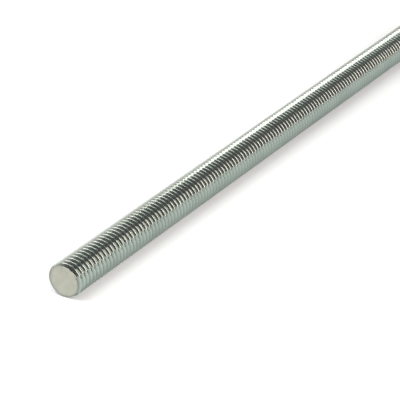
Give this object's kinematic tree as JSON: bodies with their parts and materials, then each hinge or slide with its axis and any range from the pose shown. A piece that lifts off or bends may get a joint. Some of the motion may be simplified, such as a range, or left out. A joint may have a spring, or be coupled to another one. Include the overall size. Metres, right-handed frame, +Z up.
{
  "type": "threaded rod",
  "caption": "Straight round steel rod with a right-hand metric thread along its whole length and flat sawn ends whose edges are broken.",
  "frame": {"origin": "centre of the near end face, on the rod's axis", "axes": "+X along the rod, from the near end face towards the far one; +Z up, with the rod lying level"},
  "size_m": [0.17, 0.008, 0.0078],
  "materials": {
    "zinc_plated_steel": "bright zinc plating over a rolled thread, with dull sawn end faces"
  },
  "bodies": {
    "root": {"threaded_rod": "zinc_plated_steel"}
  },
  "joints": []
}
